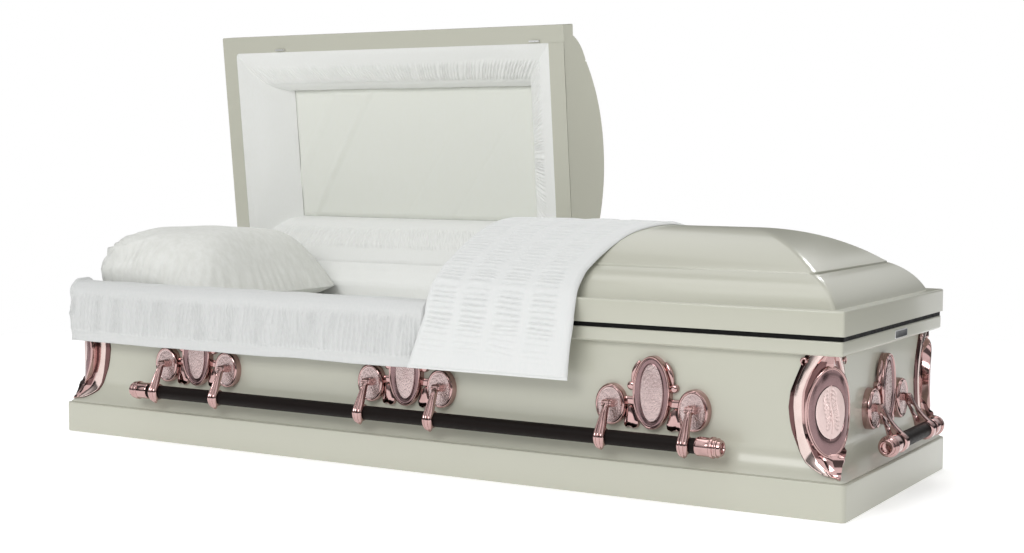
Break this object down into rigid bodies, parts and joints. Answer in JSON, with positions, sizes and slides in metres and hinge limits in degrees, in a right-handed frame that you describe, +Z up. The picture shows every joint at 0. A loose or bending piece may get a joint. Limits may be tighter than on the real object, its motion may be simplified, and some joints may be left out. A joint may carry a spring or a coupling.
{
  "type": "funeral casket",
  "caption": "Half-couch funeral casket: domed parted lid with its head half open, cloth interior, pillow, swing-bar handles and corner castings on a sheet-metal body.",
  "frame": {"origin": "middle of the flat underside", "axes": "+X towards the foot end along the length, -Y towards the front where the lids open, +Z up"},
  "size_m": [2.233, 0.9077, 1.0721],
  "materials": {
    "paint": "satin gloss, pale greenish cream",
    "rose_plate": "rose-tinted bright plate, stippled in the ovals and discs",
    "bar": "dark brown gloss",
    "gasket": "matt black",
    "plate": "dark, bare",
    "steel": "bright zinc",
    "lining": "white crepe",
    "pillow": "white crepe, puffed",
    "skirt": "white velvet crepe, shirred",
    "throw": "white velvet crepe, shirred"
  },
  "bodies": {
    "casket": {"base_moulding": "paint", "body_shell": "paint", "body_rim": "paint", "gasket": "gasket", "rim_plate": "plate", "corner_front_foot": "rose_plate", "corner_front_head": "rose_plate", "corner_back_foot": "rose_plate", "corner_back_head": "rose_plate", "lug_front_1": "rose_plate", "lug_front_2": "rose_plate", "lug_front_3": "rose_plate", "lug_back_1": "rose_plate", "lug_back_2": "rose_plate", "lug_back_3": "rose_plate", "lug_foot_end": "rose_plate", "lug_head_end": "rose_plate", "hinge_plates": "steel", "bed_frame": "steel", "mattress": "lining", "body_lining": "lining", "pillow": "pillow", "skirt": "skirt"},
    "head_lid": {"lid_head": "paint", "lid_head_lining": "lining", "lid_head_catches": "steel", "lid_head_hinges": "steel"},
    "foot_lid": {"lid_foot": "paint", "lid_foot_lining": "lining", "lid_foot_hinges": "steel", "throw": "throw"},
    "handle_front": {"bar_front": "bar", "bar_front_cap_1": "rose_plate", "bar_front_cap_2": "rose_plate", "arm_front_1": "rose_plate", "arm_front_2": "rose_plate", "arm_front_3": "rose_plate", "arm_front_4": "rose_plate", "arm_front_5": "rose_plate", "arm_front_6": "rose_plate"},
    "handle_back": {"bar_back": "bar", "bar_back_cap_1": "rose_plate", "bar_back_cap_2": "rose_plate", "arm_back_1": "rose_plate", "arm_back_2": "rose_plate", "arm_back_3": "rose_plate", "arm_back_4": "rose_plate", "arm_back_5": "rose_plate", "arm_back_6": "rose_plate"},
    "handle_foot_end": {"bar_foot_end": "bar", "bar_foot_end_cap_1": "rose_plate", "bar_foot_end_cap_2": "rose_plate", "arm_foot_end_1": "rose_plate", "arm_foot_end_2": "rose_plate"},
    "handle_head_end": {"bar_head_end": "bar", "bar_head_end_cap_1": "rose_plate", "bar_head_end_cap_2": "rose_plate", "arm_head_end_1": "rose_plate", "arm_head_end_2": "rose_plate"}
  },
  "joints": [
    {"name": "head_hinge", "type": "hinge", "parent": "casket", "child": "head_lid", "pos_m": [0, 0.3508, 0.3729], "axis": [1, 0, 0], "range_deg": [0, 83.7], "deforming": ["pillow", "skirt"]},
    {"name": "foot_hinge", "type": "hinge", "parent": "casket", "child": "foot_lid", "pos_m": [0, 0.3508, 0.3729], "axis": [-1, 0, 0], "range_deg": [0, 83.7]},
    {"name": "front_handle_swing", "type": "hinge", "parent": "casket", "child": "handle_front", "pos_m": [0, -0.352, 0.2], "axis": [-1, 0, 0], "range_deg": [0, 75]},
    {"name": "back_handle_swing", "type": "hinge", "parent": "casket", "child": "handle_back", "pos_m": [0, 0.352, 0.2], "axis": [1, 0, 0], "range_deg": [0, 75]},
    {"name": "foot_end_handle_swing", "type": "hinge", "parent": "casket", "child": "handle_foot_end", "pos_m": [1.052, 0, 0.2], "axis": [0, -1, 0], "range_deg": [0, 75]},
    {"name": "head_end_handle_swing", "type": "hinge", "parent": "casket", "child": "handle_head_end", "pos_m": [-1.052, 0, 0.2], "axis": [0, 1, 0], "range_deg": [0, 75]}
  ]
}
